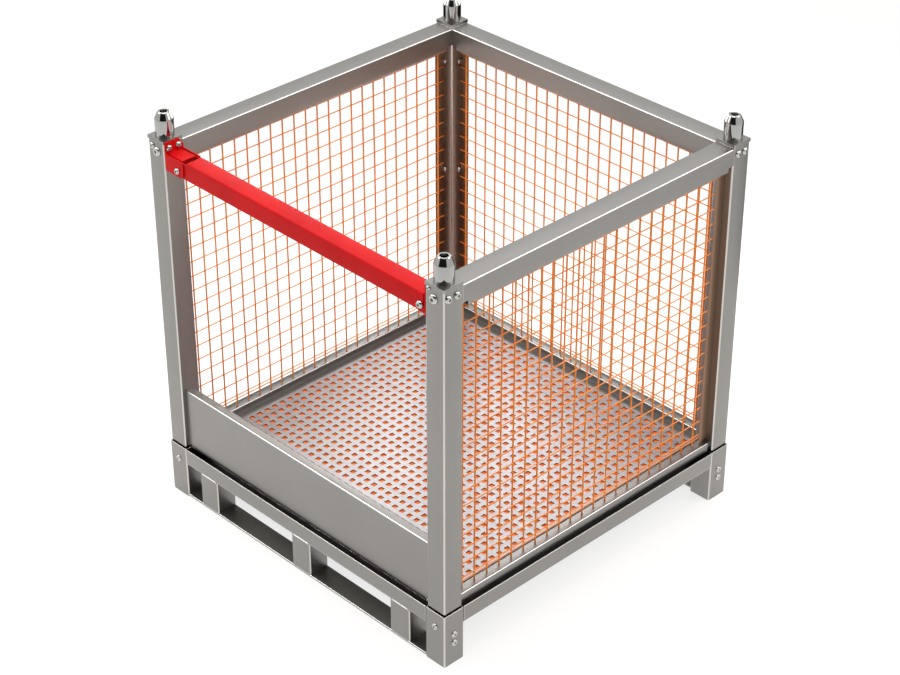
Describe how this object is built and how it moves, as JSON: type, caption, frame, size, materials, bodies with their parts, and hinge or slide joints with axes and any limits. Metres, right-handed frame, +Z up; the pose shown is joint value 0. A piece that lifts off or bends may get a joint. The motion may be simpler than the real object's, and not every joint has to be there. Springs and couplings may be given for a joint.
{
  "type": "stillage cage",
  "caption": "Mesh-sided steel stillage cage with perforated floor, fork pockets, stacking feet and pins, and a hinged front bar.",
  "frame": {"origin": "on the ground, in the middle of the outline", "axes": "+Z up, -Y out of the open front, +X to the right seen from the front"},
  "size_m": [1.065, 1.065, 1.135],
  "materials": {
    "steel": "satin brushed",
    "chrome": "polished",
    "zinc": "bright plated",
    "dark_steel": "dark, rough",
    "red_paint": "semi-gloss powder coat",
    "orange_wire": "coated wire",
    "orange_sheet": "coated sheet"
  },
  "bodies": {
    "cage": {"bar_hinge_bolt": "zinc", "bar_hinge_bracket": "red_paint", "bar_hinge_nut": "zinc", "bar_rest_bolt": "zinc", "bar_rest_bracket": "red_paint", "bar_rest_nut": "zinc", "cap_front_left": "steel", "cap_front_right": "steel", "cap_rear_left": "steel", "cap_rear_right": "steel", "floor_bearer_front": "steel", "floor_bearer_middle": "steel", "floor_bearer_rear": "steel", "floor_tray": "steel", "floor_underlay": "orange_sheet", "foot_front_left": "steel", "foot_front_right": "steel", "foot_rear_left": "steel", "foot_rear_right": "steel", "fork_beam_front": "steel", "fork_beam_rear": "steel", "fork_spacer_front_left": "steel", "fork_spacer_front_middle": "steel", "fork_spacer_front_right": "steel", "fork_spacer_rear_left": "steel", "fork_spacer_rear_middle": "steel", "fork_spacer_rear_right": "steel", "hinge_plate_bolt_front": "zinc", "hinge_plate_bolt_rear": "zinc", "kickplate": "steel", "lower_rail_left": "steel", "lower_rail_rear": "steel", "lower_rail_right": "steel", "mesh_panel_left": "orange_wire", "mesh_panel_rear": "orange_wire", "mesh_panel_right": "orange_wire", "perforated_floor": "steel", "post_front_left": "steel", "post_front_right": "steel", "post_rear_left": "steel", "post_rear_right": "steel", "rest_plate_bolt_front": "zinc", "rest_plate_bolt_rear": "zinc", "side_beam_left": "steel", "side_beam_right": "steel", "skid_front": "steel", "skid_rear": "steel", "spigot_front_left": "dark_steel", "spigot_front_right": "dark_steel", "spigot_rear_left": "dark_steel", "spigot_rear_right": "dark_steel", "stacking_pin_front_left": "chrome", "stacking_pin_front_right": "chrome", "stacking_pin_rear_left": "chrome", "stacking_pin_rear_right": "chrome", "top_rail_left": "steel", "top_rail_rear": "steel", "top_rail_right": "steel"},
    "bar": {"safety_bar": "red_paint"}
  },
  "joints": [
    {"name": "bar_hinge", "type": "hinge", "parent": "cage", "child": "bar", "pos_m": [-0.417, -0.495, 1.0075], "axis": [0, -1, 0], "range_deg": [0, 88]}
  ]
}
